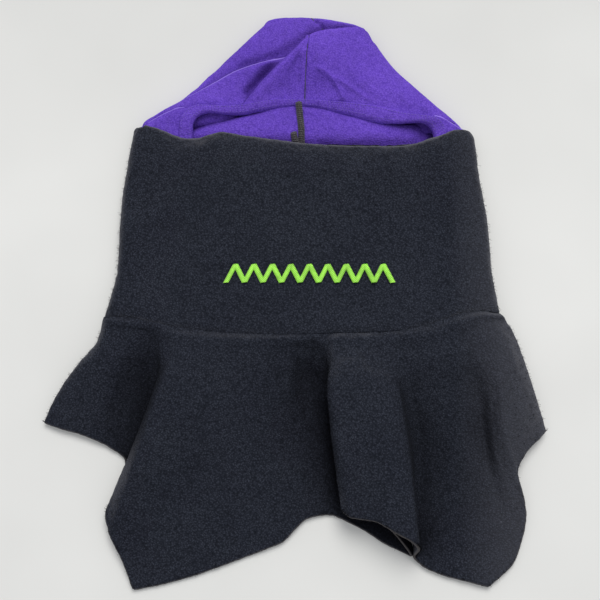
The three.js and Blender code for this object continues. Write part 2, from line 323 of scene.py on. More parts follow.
FIBRE_RADIUS = 0.075
FIBRE_LENGTHS = (0.8, 2.0)
FIBRE_LEAN = 1.1
FIBRE_CURL = 0.35
FIBRE_LIFT = 0.25  # least part of a fibre's direction that leaves the cloth
LEVEL_CHANCE = 0.02  # of a fibre on level cloth, against 1 on an upright wall
WIDEST_CELL = 2.0


def stray_fibres(grid, count, seed, keep):
    """Short fibres that stand off the steep parts of a closed sheet's pile, where keep is true."""
    normal = grid_normals(grid, True)
    cell = np.linalg.norm(np.cross(np.gradient(grid, axis=0), np.gradient(grid, axis=1)), axis=-1)
    steepness = (1 - np.abs(normal[..., 2])) ** 1.5
    chance = (steepness + LEVEL_CHANCE) * np.minimum(cell, WIDEST_CELL) * keep
    total = np.cumsum(chance.ravel())
    picks = np.random.default_rng(seed)
    places = np.searchsorted(total, picks.random(count) * total[-1])
    steps = np.linspace(0, 1, 4)[:, None]
    parts = []
    for place in places:
        start, up = grid.reshape(-1, 3)[place], normal.reshape(-1, 3)[place]
        lean = unit((up + FIBRE_LEAN * picks.normal(size=3))[None])[0]
        lean = unit((lean + up * max(0.0, FIBRE_LIFT - lean @ up) * 2)[None])[0]
        bend = FIBRE_CURL * picks.normal(size=3)
        length = picks.uniform(*FIBRE_LENGTHS)
        parts.append(tube(start + lean * steps * length + bend * steps**2, FIBRE_RADIUS, 3))
    return parts


def join_parts(parts):
    points, faces, raw_edge_and_highlight, offset = [], [], [], 0
    for part_points, part_faces, part_raw in parts:
        points.append(part_points)
        raw_edge_and_highlight.append(part_raw)
        faces += [[int(v) + offset for v in face] for face in part_faces]
        offset += len(part_points)
    return np.concatenate(points), faces, np.concatenate(raw_edge_and_highlight)


def show(thing):
    bpy.context.scene.collection.objects.link(thing)


def make_piece(name, parts, slot, node, body=None):
    """One piece in the place of a CAD solid; it rides on body, or has its transform baked later."""
    points, faces, raw_edge_and_highlight = join_parts(parts)
    mesh = bpy.data.meshes.new(name)
    mesh.from_pydata((points * MM).tolist(), [], faces)
    mesh.attributes.new("edge", "FLOAT", "POINT").data.foreach_set("value", raw_edge_and_highlight)
    mesh.polygons.foreach_set("use_smooth", [True] * len(mesh.polygons))
    mesh.materials.append(MATERIALS[slot])
    piece = bpy.data.objects.new(name, mesh)
    show(piece)
    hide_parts(node)
    if body:
        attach(piece, body)
    return piece


def blend_from_collar(piece):
    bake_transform(piece)


# ---- materials

def connect(tree, value, socket):
    if isinstance(value, bpy.types.NodeSocket):
        tree.links.new(value, socket)
    else:
        socket.default_value = value


def add_node(tree, kind, settings=None, **inputs):
    node = tree.nodes.new("ShaderNode" + kind)
    for key, value in (settings or {}).items():
        setattr(node, key, value)
    for key, value in inputs.items():
        connect(tree, value, node.inputs[key.replace("_", " ")])
    return node


def srgb(red, green, blue):
    def linear(value):
        value /= 255
        return value / 12.92 if value <= 0.04045 else ((value + 0.055) / 1.055) ** 2.4
    return (linear(red), linear(green), linear(blue), 1.0)


def grey(value, blue=None):
    return (value, value, value if blue is None else blue, 1)


def noise(tree, place, size, detail=2.0, roughness=0.5):
    """Noise whose blobs are about size millimetres across."""
    scale = 1 / (size * MM)
    settings = {"Vector": place, "Scale": scale, "Detail": detail, "Roughness": roughness}
    return add_node(tree, "TexNoise", **settings).outputs["Fac"]


def cells(tree, place, size):
    return add_node(tree, "TexVoronoi", Vector=place, Scale=1 / (size * MM)).outputs


def arithmetic(tree, operation, *values, clamp=False):
    node = add_node(tree, "Math", {"operation": operation, "use_clamp": clamp})
    for value, socket in zip(values, node.inputs):
        connect(tree, value, socket)
    return node.outputs[0]


def ramp(tree, factor, stops):
    node = add_node(tree, "ValToRGB", Fac=factor)
    elements = node.color_ramp.elements
    while len(elements) < len(stops):
        elements.new(0.5)
    for element, (position, colour) in zip(elements, stops):
        element.position = position
        element.color = colour
    return node.outputs["Color"]


def fade(tree, factor, start, end, low, high):
    """Grey that goes from low, at factor start, to high, at factor end."""
    return ramp(tree, factor, ((start, grey(low)), (end, grey(high))))


def mix(tree, factor, first, second, blend_type="MIX"):
    node = add_node(tree, "Mix", {"data_type": "RGBA", "blend_type": blend_type})
    for socket, value in ((node.inputs[0], factor), (node.inputs[6], first), (node.inputs[7], second)):
        connect(tree, value, socket)
    return node.outputs[2]


def multiply(tree, first, second):
    return mix(tree, 1.0, first, second, "MULTIPLY")


def new_material(name):
    material = bpy.data.materials.new(name)
    material.use_nodes = True
    tree = material.node_tree
    tree.nodes.clear()
    shader = add_node(tree, "BsdfPrincipled")
    output = add_node(tree, "OutputMaterial")
    tree.links.new(shader.outputs["BSDF"], output.inputs["Surface"])
    place = add_node(tree, "TexCoord").outputs["Object"]
    return material, tree, shader, place


def set_shader(tree, shader, settings):
    for name, value in settings.items():
        connect(tree, value, shader.inputs[name])


PATCH_SIZE = 38.0  # slow changes of tone over the cloth
LINT_COLOUR = srgb(150, 152, 165)
LINT_SPACING = 9.0
LINT_RADIUS = 0.045  # of a cell
FIBRE_SIZE = 0.45
SHADE_REACH = 60.0  # how far off a fold still shades the cloth
RIGHT_LIGHT_START, RIGHT_LIGHT_END = 0.112, 0.17  # metres to the right: painted light makes the pile paler there


def pile_colour(tree, place, nubs, clumps, tones, grain):
    """Dark between the nubs and paler on them, with slow changes over the cloth."""
    dark, middle, light = tones
    colour = ramp(tree, nubs, ((0.5 - grain, dark), (0.5, middle), (0.5 + grain, light)))
    patches = noise(tree, place, PATCH_SIZE)
    patch_tone = ramp(tree, patches, ((0.3, grey(0.9, 0.92)), (0.7, grey(1.1, 1.08))))
    colour = multiply(tree, colour, fade(tree, clumps, 0.3, 0.7, 0.9, 1.08))
    return multiply(tree, colour, patch_tone)


def with_lint(tree, place, colour, lint):
    """Adds pale specks in a share of the cells."""
    specks = cells(tree, place, LINT_SPACING)
    speck = fade(tree, specks["Distance"], 0.0, LINT_RADIUS, 1, 0)
    draw = add_node(tree, "SeparateColor", Color=specks["Color"]).outputs["Red"]
    some = ramp(tree, draw, ((0.0, grey(0)), (1 - lint, grey(0)), (1.0, grey(1))))
    return mix(tree, multiply(tree, speck, some), colour, LINT_COLOUR)


def openness(tree, only_local):
    settings = {"samples": 8, "only_local": only_local}
    node = add_node(tree, "AmbientOcclusion", settings, Distance=SHADE_REACH * MM)
    return node.outputs["AO"]


def table_bounce_paint(tree, own_open, open_air, edge, painted_bounce):
    """Painted bounce light from the table on sloping cloth near it, but not along seams."""
    by_table = arithmetic(tree, "SUBTRACT", own_open, open_air)
    free = arithmetic(tree, "ADD", edge, 1.0, clamp=True)
    normal = add_node(tree, "NewGeometry").outputs["Normal"]
    level = add_node(tree, "SeparateXYZ", Vector=normal).outputs["Z"]
    # painted bounce light: strongest where the cloth sees most of the pale table
    tips = ramp(tree, by_table, (
        (0.01, grey(0)), (0.06, grey(painted_bounce * 0.3)), (0.15, grey(painted_bounce * 0.65)), (0.4, grey(painted_bounce)),
    ))
    return multiply(tree, multiply(tree, tips, free), fade(tree, level, 0.9, 0.99, 1, 0))


def fold_shade(tree, own_open, deep, dim):
    """Shade in the hollows between folds: dim half-way in, deep at the bottom."""
    half = 0.5 + dim / 2
    return ramp(tree, own_open, (
        (0.5, deep), (0.845, grey(dim, dim * 1.03)),
        (0.94, grey(half + 0.13, half + 0.14)), (1.0, grey(1.08)),
    ))


def pile_relief(tree, place, nubs, clumps, bump):
    fibres = noise(tree, place, FIBRE_SIZE, 2.0, 0.6)
    relief = add_node(tree, "Bump", Height=nubs, Strength=bump, Distance=1.1 * MM)
    for height, distance in ((clumps, 1.4), (fibres, 0.35)):
        relief = add_node(
            tree, "Bump", Height=height, Strength=bump * 0.6, Distance=distance * MM,
            Normal=relief.outputs["Normal"],
        )
    return relief.outputs["Normal"]


def fleece(name, tones, painted_light_colour, raw_edge_and_highlight, deep, dim, pile, grain, lint, painted_bounce, painted_right_light, sheen, bump):
    """Brushed pile: nubs of a few sizes, stray lint, painted shade in the hollows, painted bounce light
    from the table on low slopes, painted light on the right side and pale edges.
    """
    material, tree, shader, place = new_material(name)
    mottle = noise(tree, place, pile * 0.7, 2.0, 0.6)
    gaps = arithmetic(tree, "SUBTRACT", mottle, cells(tree, place, pile)["Distance"])
    nubs = arithmetic(tree, "MULTIPLY_ADD", gaps, 0.5, 0.48)
    clumps = noise(tree, place, pile * 4, 2.0, 0.55)
    own_open, open_air = openness(tree, True), openness(tree, False)
    edge = add_node(tree, "Attribute", {"attribute_name": "edge"}).outputs["Fac"]
    across = add_node(tree, "SeparateXYZ", Vector=place).outputs["X"]
    colour = pile_colour(tree, place, nubs, clumps, tones, grain)
    colour = with_lint(tree, place, colour, lint)
    # painted bounce light from the table, mixed in with the painted light colour
    colour = mix(tree, table_bounce_paint(tree, own_open, open_air, edge, painted_bounce), colour, painted_light_colour)
    # painted light on the right side, where the brushed pile catches the light
    colour = mix(tree, fade(tree, across, RIGHT_LIGHT_START, RIGHT_LIGHT_END, 0, painted_right_light), colour, painted_light_colour)
    colour = multiply(tree, colour, fold_shade(tree, own_open, deep, dim))
    # pale edge colour: the raw cut edge's own colour on black, a painted highlight along fold edges on
    # purple; painted shade dims it where the cloth is shut in
    exposed = fade(tree, open_air, 0.3, 0.7, 0.08, 1)
    edge_tint_and_highlight = multiply(tree, fade(tree, edge, 0, 1, 0, 0.7), exposed)
    set_shader(tree, shader, {
        "Base Color": mix(tree, edge_tint_and_highlight, colour, raw_edge_and_highlight),
        "Roughness": 0.94,
        "Specular IOR Level": 0.12,
        "Sheen Weight": sheen,
        "Sheen Roughness": 0.45,
        "Sheen Tint": tones[2],
        "Normal": pile_relief(tree, place, nubs, clumps, bump),
    })
    return material


def thread(name, colour, light, sheen, roughness):
    """Twisted thread: fine stripes along the ply and a soft sheen."""
    material, tree, shader, place = new_material(name)
    twist = add_node(
        tree, "TexWave", {"bands_direction": "DIAGONAL"},
        Vector=place, Scale=1 / (2.2 * MM), Distortion=1.5,
    ).outputs["Fac"]
    stripes = ramp(tree, twist, ((0.2, colour), (0.8, light)))
    wear = fade(tree, noise(tree, place, 6.0), 0.35, 0.65, 0.82, 1.12)
    bump = add_node(tree, "Bump", Height=twist, Strength=0.4, Distance=0.15 * MM)
    set_shader(tree, shader, {
        "Base Color": multiply(tree, stripes, wear),
        "Roughness": roughness,
        "Sheen Weight": sheen,
        "Normal": bump.outputs["Normal"],
    })
    return material


BLACK_TONES = (srgb(22, 25, 33), srgb(34, 37, 46), srgb(57, 61, 72))
PURPLE_TONES = (srgb(85, 57, 165), srgb(100, 69, 183), srgb(117, 87, 200))
MATERIALS = {
    "black_fleece": fleece(
        "black_fleece", BLACK_TONES, painted_light_colour=srgb(118, 118, 124), raw_edge_and_highlight=srgb(88, 84, 82),
        deep=(0.12, 0.12, 0.16, 1), dim=0.55, pile=1.3, grain=0.24, lint=0.14, painted_bounce=0.75, painted_right_light=0.2,
        sheen=0.1, bump=0.8,
    ),
    # the purple's pale edge colour is a painted highlight along its fold edges
    "purple_fleece": fleece(
        "purple_fleece", PURPLE_TONES, painted_light_colour=srgb(138, 110, 218), raw_edge_and_highlight=srgb(164, 137, 240),
        deep=(0.36, 0.28, 0.44, 1), dim=0.76, pile=1.2, grain=0.24, lint=0.03, painted_bounce=0.0, painted_right_light=0.0,
        sheen=0.05, bump=0.6,
    ),
    "black_thread": thread("black_thread", srgb(36, 33, 38), srgb(80, 75, 82), 0.3, 0.7),
    "purple_thread": thread("purple_thread", srgb(92, 66, 166), srgb(128, 100, 208), 0.2, 0.7),
    "lime_thread": thread("lime_thread", srgb(140, 222, 50), srgb(186, 250, 96), 0.3, 0.42),
    "stabiliser": thread("stabiliser", srgb(214, 212, 204), srgb(236, 234, 228), 0.1, 0.9),
}


# ---- collar

COLLAR_THICK = 19.8  # front to back, over the layers inside
COLLAR_HEIGHT = 140
COLLAR_SIDE = 8.0  # half-width of the rounded side folds
FLAT_SHARE = 0.46  # of a half turn round the tube
SEAM_REACH, SEAM_MIDDLE = 132, 6
TOP_REACH, TOP_MIDDLE = 120, 8.2
TOP_TAPER, TAPER_SHARE = 4.6, 0.22
TOP_ROLL = 2.8  # radius of the face cover's folded top edge
ROLL_UNDER = 12
SEWN_ROWS = 7
SEAM_GROOVE = 2.0
# The sides give x for a height y; the edges and seams give y for a place x.
LEFT_SIDE = [(-26, -136.5), (-8, -132), (12, -128), (60, -126.8), (92, -123.2), (121, -119.6)]
RIGHT_SIDE = [
    (-26, 148.5), (-8, 146), (12, 143.2), (43, 142), (88, 136.2), (104, 135.2), (111, 134.8),
    (116, 133), (120, 129.6),
]
FRONT_TOP = [
    (-118, 122.4), (-112, 123), (-105, 121), (-94, 117), (-86, 113.6), (-78, 111.8), (-70, 112),
    (-61, 114.4), (-52, 116.2), (-46, 115.4), (-34, 113), (-19, 111.2), (-3, 109.2), (24, 106.4),
    (50, 105.4), (78, 105.6), (92, 108.2), (101, 111.4), (110, 114.6), (120, 118.4), (128.2, 120),
    (136, 119),
]
BACK_TOP = [
    (-118, 121.8), (-110, 121.2), (-95, 116), (-60, 112), (-30, 114.6), (-12, 116.6), (0, 115),
    (12, 112.6), (30, 111), (50, 110), (70, 109.8), (85, 110), (100, 110.5), (120, 114), (136, 116),
]
FRONT_SEAM = [
    (-137, -22), (-117, -24.5), (-101, -28), (-86, -31), (-65, -33.3), (-38, -35.2), (-11, -36),
    (24, -34.8), (58, -34), (74, -33), (96, -29), (113, -23.5), (126, -20), (137, -19), (149, -20),
]
BACK_SEAM = [(-137, -22), (-100, -27), (-40, -31), (20, -32), (80, -29), (125, -22), (149, -20)]
COLLAR_CREASES = (
    ([(-86, 92), (-60, 104), (-30, 108)], 0.8, 7),
    ([(-100, 118), (-92, 96)], 0.7, 6),
    ([(100, 108), (112, 86)], 0.7, 6),
    ([(-70, 108), (-66, 96)], -0.9, 6),
)


def collar_turn(columns):
    """Once round the tube: front or back, flat or side fold, share across, fold angle."""
    turn = np.arange(columns) / columns * 2
    front = turn < 1
    local = np.where(front, turn, turn - 1)
    on_flat = local < FLAT_SHARE * 2
    along_flat = np.clip(local / (FLAT_SHARE * 2), 0, 1) * 2 - 1
    along_arc = np.clip((local - FLAT_SHARE * 2) / (1 - FLAT_SHARE * 2), 0, 1)
    angle = np.where(front, math.pi / 2 - along_arc * math.pi, -math.pi / 2 - along_arc * math.pi)
    share = np.where(on_flat, np.where(front, along_flat, -along_flat), 0.0)
    return front, on_flat, share, angle


def collar_grid(inset, bottom_trim, top_trim, columns, rows):
    """Outer face of the flattened collar tube, drawn in by inset."""
    front, on_flat, share, angle = collar_turn(columns)
    side = COLLAR_SIDE - inset * 0.8
    toward = np.sign(np.cos(angle))
    place = np.where(on_flat, share, toward)
    seam_x, top_x = place * SEAM_REACH + SEAM_MIDDLE, place * TOP_REACH + TOP_MIDDLE
    low = np.where(front, *(curve_value(line, seam_x) for line in (FRONT_SEAM, BACK_SEAM))) + bottom_trim
    high = np.where(front, *(curve_value(line, top_x) for line in (FRONT_TOP, BACK_TOP))) - top_trim
    crown = 1 - np.abs(share) ** 3
    grid = np.zeros((columns, rows, 3))
    for j in range(rows):
        v = j / (rows - 1)
        y = low + (high - low) * v
        left = curve_value(LEFT_SIDE, y) + inset
        right = curve_value(RIGHT_SIDE, y) - inset
        middle, half = (left + right) / 2, (right - left) / 2 - side
        taper = TOP_TAPER * max(0.0, (v - (1 - TAPER_SHARE)) / TAPER_SHARE) ** 2.5
        thick = COLLAR_THICK - inset * 2 - taper
        flat_z = np.where(front, thick * (0.72 + 0.28 * crown), 0.0)
        arc_z = thick * 0.36 * (1 + np.sin(angle))
        x = np.where(on_flat, middle + share * half, middle + toward * half + side * np.cos(angle))
        z = np.where(on_flat, flat_z, arc_z) + inset
        grid[:, j] = np.stack([x, y, z], axis=1)
    return grid[::-1]


def roll_over(grid, radius, under, steps=7):
    """Turns the sheet's last row over its edge, inwards, and runs a short way back."""
    normal = grid_normals(grid, True)[:, -1]
    onward = unit(grid[:, -1] - grid[:, -2])
    start = grid[:, -1]
    rows = []
    for angle in np.linspace(0, math.pi, steps + 1)[1:]:
        rows.append(start + radius * (math.sin(angle) * onward - (1 - math.cos(angle)) * normal))
    for back in np.linspace(0, under, 5)[1:]:
        rows.append(start - 2 * radius * normal - back * np.array([0.0, 1.0, 0.0]))
    return np.concatenate([grid, np.stack(rows, axis=1)], axis=1)


def build_collar():
    grid = collar_grid(inset=0.0, bottom_trim=0.0, top_trim=2.6, columns=560, rows=104)
    front = grid[..., 2] > COLLAR_THICK * 0.5
    ripple = 0.7 * value_noise(grid, 46, 5) + 0.35 * value_noise(grid, 19, 6)
    grid[..., 2] += front * ripple
    crease_all(grid, COLLAR_CREASES)
    from_seam = np.linspace(0, 1, grid.shape[1])[None, :] * COLLAR_HEIGHT
    grid[..., 2] -= front * np.exp(-((from_seam / SEAM_GROOVE) ** 2))
    grid = roll_over(grid, TOP_ROLL, ROLL_UNDER)
    cloth = thick_sheet(grid, FLEECE, True, pile=0.2, seed=11, cut=(), sewn=SEWN_ROWS)
    sides = (grid[..., 1] < 104) & (grid[..., 1] > -20) & (grid[..., 2] > 2)
    parts = [cloth] + stray_fibres(grid, 650, 91, sides)
    make_piece("collar_outer_cloth", parts, "black_fleece", "collar_shell", "collar")
    lining = collar_grid(inset=3.5, bottom_trim=0.6, top_trim=20.0, columns=300, rows=50)
    parts = [thick_sheet(lining, 1.6, True, seed=17)]
    make_piece("collar_lining_cloth", parts, "black_fleece", "collar_lining", "collar")


# ---- bib

# Each guide runs from the neck seam to the raw hem. They start at the left shoulder fold,
# cross the front with its deep pleat, and come back underneath.
BIB_GUIDES = [
    [(-136.5, -23, 8.5), (-140, -39, 8), (-153.4, -56, 7), (-167.6, -77, 5.6), (-176.5, -96.5, 3.6)],
    [(-131, -23.6, 15), (-135, -42, 14), (-145, -61, 12), (-159, -83, 8.6), (-169, -99.6, 5)],
    [(-119, -24.8, 17.5), (-122, -46, 15.4), (-130, -68, 12), (-141, -89, 8.4), (-151, -104.6, 5)],
    [(-109, -26.4, 18), (-111, -46, 13.6), (-115, -72, 8), (-122, -95, 5.4), (-130, -113.4, 4)],
    [(-100, -28.2, 18), (-100, -46, 12), (-102, -74, 5.4), (-108, -102, 3.6), (-115, -126, 3)],
    [(-93, -29.6, 18), (-94, -47, 16), (-97, -74, 7), (-103, -104, 4.2), (-112, -138, 3.4)],
    [(-88, -30.6, 18), (-89, -48, 18.6), (-97.4, -74, 16), (-109, -106, 13), (-130, -158, 6.5)],
    [(-83, -31.4, 18), (-84, -48, 20), (-91, -74, 23.4), (-102, -108, 22), (-126.6, -172, 7.5)],
    [(-76, -32.2, 18), (-76, -48, 20.4), (-81, -76, 24), (-91, -114, 20), (-117, -191, 5)],
    [(-68, -33, 18), (-68, -50, 20.2), (-71, -82, 22), (-82, -130, 14), (-109.5, -210, 3)],
    [(-58, -33.8, 18), (-59, -50, 19.8), (-61, -82, 19.8), (-68, -132, 11), (-87, -205.5, 3)],
    [(-46, -34.7, 18), (-47, -50, 19.4), (-49, -82, 17.8), (-53, -132, 9.6), (-64, -199, 3)],
    [(-34, -35.2, 18), (-35, -50, 18.8), (-36, -82, 15.8), (-37, -130, 8), (-40, -190.5, 3.2)],
    [(-22, -35.6, 18), (-23, -50, 18), (-23, -82, 13.6), (-21, -128, 6.4), (-20, -183, 3.6)],
    [(-11, -35.9, 18), (-12, -50, 16.8), (-11, -80, 11), (-8, -124, 5), (-7, -177.5, 3.8)],
    [(-2, -35.8, 18), (-2, -50, 15.6), (-1, -78, 8.4), (2, -116, 4.2), (0.5, -169.5, 3.8)],
    [(5, -35.6, 18), (5, -50, 13.4), (7, -70, 6), (11, -108, 3.6), (10.5, -162, 3.6)],
    [(12, -35.3, 18), (12, -50, 12.4), (15, -66, 5.4), (20, -108, 3.4), (24, -160, 3)],
    [(17, -35.1, 18), (16, -50, 12.4), (18.6, -72, 5.2), (36, -110, 3.6), (46, -168.8, 3)],
    [(20, -34.9, 18), (18.6, -50, 13.4), (21.4, -72, 6.6), (52, -114, 4), (65, -180.2, 3)],
    [(23, -34.8, 18), (21, -50, 15), (23.6, -72, 9.6), (61, -118, 6.6), (81, -187.6, 4)],
    [(25.4, -34.8, 18), (23, -50, 16.8), (24.2, -72, 13), (52, -114, 10), (64, -167, 10)],
    [(27.6, -34.7, 18), (25.2, -50, 18.6), (23.6, -72, 17), (37, -108, 14.6), (46, -157, 11.6)],
    [(30, -34.7, 18), (28, -50, 20.2), (22.8, -72, 21), (25.4, -104, 18.8), (32.4, -156.4, 14.4)],
    [(34, -34.6, 18), (32.4, -50, 21.2), (27.4, -72, 24.4), (30.4, -105, 24), (38.4, -160.6, 19)],
    [(42, -34.4, 18), (40, -50, 21.8), (38, -67, 26), (46, -108, 27.2), (54, -162.8, 23)],
    [(52, -34.2, 18), (52, -52, 21.4), (53, -70, 26), (60, -112, 28.4), (68, -169.8, 25)],
    [(60, -33.9, 18), (61, -53, 20.4), (64, -72, 24.6), (72, -122, 28), (80, -176.4, 23.4)],
    [(66, -33.6, 18), (68, -54, 19.4), (72, -74, 21), (80, -128, 23), (85.6, -181.6, 16)],
    [(72, -33.1, 18), (74, -54, 18.4), (77, -75, 15.4), (84, -128, 9), (83.8, -188, 4.6)],
    [(79, -32.3, 18), (81, -52, 18.2), (84, -76, 12), (91, -128, 4.6), (89, -194, 3)],
    [(88, -30.8, 18), (92, -50, 18.4), (98, -78, 11.6), (107, -136, 3.6), (104, -200.5, 3)],
    [(96, -29, 18), (101, -48, 18.4), (108, -78, 11.4), (119, -136, 3.6), (120, -204.5, 3.2)],
    [(104, -26.6, 18), (110, -46, 18.2), (118, -76, 11), (129, -134, 3.8), (133.5, -208, 3.4)],
    [(111, -24.2, 18), (118, -45, 17.6), (127, -73, 11), (134, -118, 4.6), (152.6, -189, 3.6)],
    [(118, -22.2, 17.8), (126, -43, 18.6), (136, -70, 16), (140, -112, 11), (160, -159, 6)],
    [(126, -20.2, 17), (135.4, -40, 19), (145, -64, 19.4), (147, -100, 16.4), (155.4, -131, 9.4)],
    [(134, -19.2, 14.6), (144, -36, 16.4), (154, -57, 16.6), (158, -86, 15), (161, -118.7, 9)],
    [(142, -19.2, 11.4), (151, -33, 12), (159, -53, 12), (166.6, -78, 10.8), (172, -108, 7.4)],
    [(148.5, -20, 8), (156.4, -33, 8), (163.6, -53, 7.6), (171.2, -79.5, 6.4), (177.6, -102.6, 5)],
    [(141, -22, 1), (149, -36, 0.6), (156, -56, 0.3), (161, -84, 0.2), (166, -112, 0.2)],
    [(118, -25, 0), (124, -50, 0), (131, -82, 0), (137, -118, 0), (142, -152, 0)],
    [(92, -28, 0), (97, -55, 0), (104, -95, 0), (110, -140, 0), (117, -194, 0)],
    [(55, -31, 0), (56, -55, 0), (58, -90, 0), (60, -120, 0), (62, -158, 0)],
    [(5, -32, 0), (5, -55, 0), (5, -85, 0), (4, -115, 0), (3, -150, 0)],
    [(-45, -31, 0), (-46, -55, 0), (-48, -90, 0), (-50, -125, 0), (-52, -176, 0)],
    [(-85, -29, 0), (-88, -55, 0), (-92, -90, 0), (-96, -130, 0), (-99, -196, 0)],
    [(-105, -27, 0), (-108, -45, 0), (-113, -72, 0), (-117, -92, 0), (-124, -111, 0)],
    [(-124, -25, 0.2), (-128, -42, 0.2), (-136, -66, 0.1), (-145, -84, 0.1), (-149, -100.8, 0.1)],
    [(-132, -24, 1.4), (-137, -41, 1), (-148, -59, 0.6), (-161, -80, 0.4), (-169.4, -97, 0.4)],
]
BIB_CORNERS = (9, 33)  # guides at which the hem keeps a corner
BIB_LENGTH = 165
LOWEST_FRONT = 2.3  # the front layer lies on the back one


def build_bib():
    grid = guided_sheet(BIB_GUIDES, 700, 124, closed=True, sharp=BIB_CORNERS)
    front = grid_normals(grid, True)[..., 2] > 0.1
    v = np.linspace(0, 1, grid.shape[1])[None, :]
    loose = np.clip(v * 4, 0, 1)
    ripple = 0.9 * value_noise(grid, 40, 3) + 0.5 * value_noise(grid, 17, 4)
    grid[..., 2] += front * ripple * loose
    from_seam = v * BIB_LENGTH
    puff = 1 + 0.5 * value_noise(grid * np.array([1, 0, 0]), 30, 12)
    grid[..., 2] -= front * 0.5 * puff * np.exp(-((from_seam / 3) ** 2))
    grid[..., 2] += front * 1.5 * puff * np.exp(-(((from_seam - 6) / 5) ** 2))
    grid[..., 2] = np.maximum(grid[..., 2], np.where(front, LOWEST_FRONT, 0.0))
    cloth = thick_sheet(grid, FLEECE, True, pile=0.2, seed=23, cut=(1,), sewn=SEWN_ROWS)
    outermost = (grid[..., 0] < -128) | (grid[..., 0] > 151)
    free = (v * np.ones((grid.shape[0], 1)) > 0.1) & (grid[..., 2] > 2) & outermost
    hem = np.zeros(grid.shape[:2], bool)
    hem[:, -1] = grid[:, -1, 2] > 2
    fibres = stray_fibres(grid, 350, 92, free) + stray_fibres(grid, 700, 93, hem)
    piece = make_piece("bib_cloth", [cloth] + fibres, "black_fleece", "bib")
    blend_from_collar(piece)


# ---- hood

SEAM_X = 7.0  # where the left and the right half meet
HOOD_BASE_Y = 98.0  # the hood's lower end, under the collar
RIM_HEIGHT = 8.5  # the folded edge round the flattened pouch
HOOD_PILE = 0.08
HOOD_OUTLINE = [
    (-118, 112), (-114, 124), (-104.2, 132), (-85.6, 143.6), (-76.6, 151.2), (-63.6, 164.2),
    (-45.2, 182.6), (-32, 196.2), (-24.4, 203.6), (-19.4, 209), (-8, 211.2), (7, 211.4), (20, 210.6),
    (36, 207.8), (52.4, 202.8), (60.4, 190), (73.2, 171.4), (91, 154), (109, 137.6), (122.6, 125),
    (130.6, 115.6),
]
CROWN_GUIDE = 11  # the outline point on the centre seam


def pouch_guides():
    """Guides from under the collar, along the back sheet, over the rim and onto the top."""
    guides = []
    outline = np.array(HOOD_OUTLINE, float)
    for x, y in outline:
        share = (x - outline[0, 0]) / (outline[-1, 0] - outline[0, 0])
        base = np.array([-112 + share * 238, HOOD_BASE_Y])
        edge = np.array([x, y], float)
        inward = unit((np.array([base[0] * 0.6 + SEAM_X * 0.4, 120.0]) - edge)[None])[0]
        under, crest, top, slope, end = (edge + inward * distance for distance in (5, 3, 13, 27, 48))
        right_sink = 3.2 * min(max((x - 80) / 20, 0.0), 1.0)
        guides.append([
            (*base, 0.0),
            (*(base * 0.5 + under * 0.5), 0.0),
            (*under, 0.2),
            (*edge, RIM_HEIGHT * 0.45),
            (*crest, RIM_HEIGHT),
            (*top, RIM_HEIGHT + 0.6),
            (*slope, RIM_HEIGHT + 0.2 - right_sink),
            (*end, RIM_HEIGHT - 5.5),
        ])
    return guides


# The forehead flap, whose halves meet at the centre seam.
FLAP_LEFT = [
    [(-38, 137.2, 12.4), (-25.4, 152.4, 16), (-12.6, 166.6, 17.4), (-2.4, 176.8, 18), (7.6, 187.6, 18)],
    [(-30, 137.9, 13.2), (-19.4, 152.8, 18), (-8, 166.6, 19.6), (0.6, 177, 19.8), (8.2, 188.2, 18.8)],
    [(-18, 139.8, 12.8), (-10.6, 155, 16.4), (-3, 167.4, 18.6), (3.4, 177.6, 19.6), (8.8, 188.8, 19)],
    [(-5, 141.2, 11.6), (-1.4, 157, 14), (2.6, 170, 17), (6.2, 180, 19), (9.6, 189.2, 19.2)],
    [(7.1, 142, 11.4), (7.5, 158, 13.4), (8.1, 170, 16.8), (8.9, 180, 19), (10.4, 189.6, 19.4)],
]
FLAP_RIGHT = [
    [(8.9, 142, 11.4), (9.3, 158, 13.4), (9.9, 170, 16.8), (10.7, 180, 19), (12.2, 190, 19.6)],
    [(20, 141.2, 12), (20, 156, 14.8), (20, 170, 18.6), (20, 182, 20.4), (18.6, 192.6, 20)],
    [(36, 140, 13.2), (37, 154, 16.6), (36.6, 168, 19), (35.6, 182, 20), (32, 195, 19)],
    [(56, 136.6, 14), (54.6, 150, 16.2), (52, 165, 17.4), (49, 180, 17.8), (43, 197.2, 16.8)],
    [(78, 130.4, 14.4), (73.4, 143, 15.2), (67, 158, 15.4), (59.8, 175, 15), (50, 198.4, 14)],
    [(98, 127.6, 13.8), (90, 139.6, 13.6), (80, 152.6, 12.8), (67.6, 169.4, 12), (55.5, 196, 11)],
    [(113, 126, 11.8), (101.6, 139, 11.4), (89, 150.4, 10.6), (73, 167, 9.8), (59.8, 189.4, 9)],
    [(119.8, 124.8, 8.4), (108, 136.4, 8.4), (91.8, 151.6, 8.2), (75, 168.6, 7.6), (62, 188, 7)],
    [(123, 123, 4.4), (109.6, 136, 4.2), (93, 152, 4.2), (76.4, 168.4, 4.2), (62.8, 187, 4.2)],
]
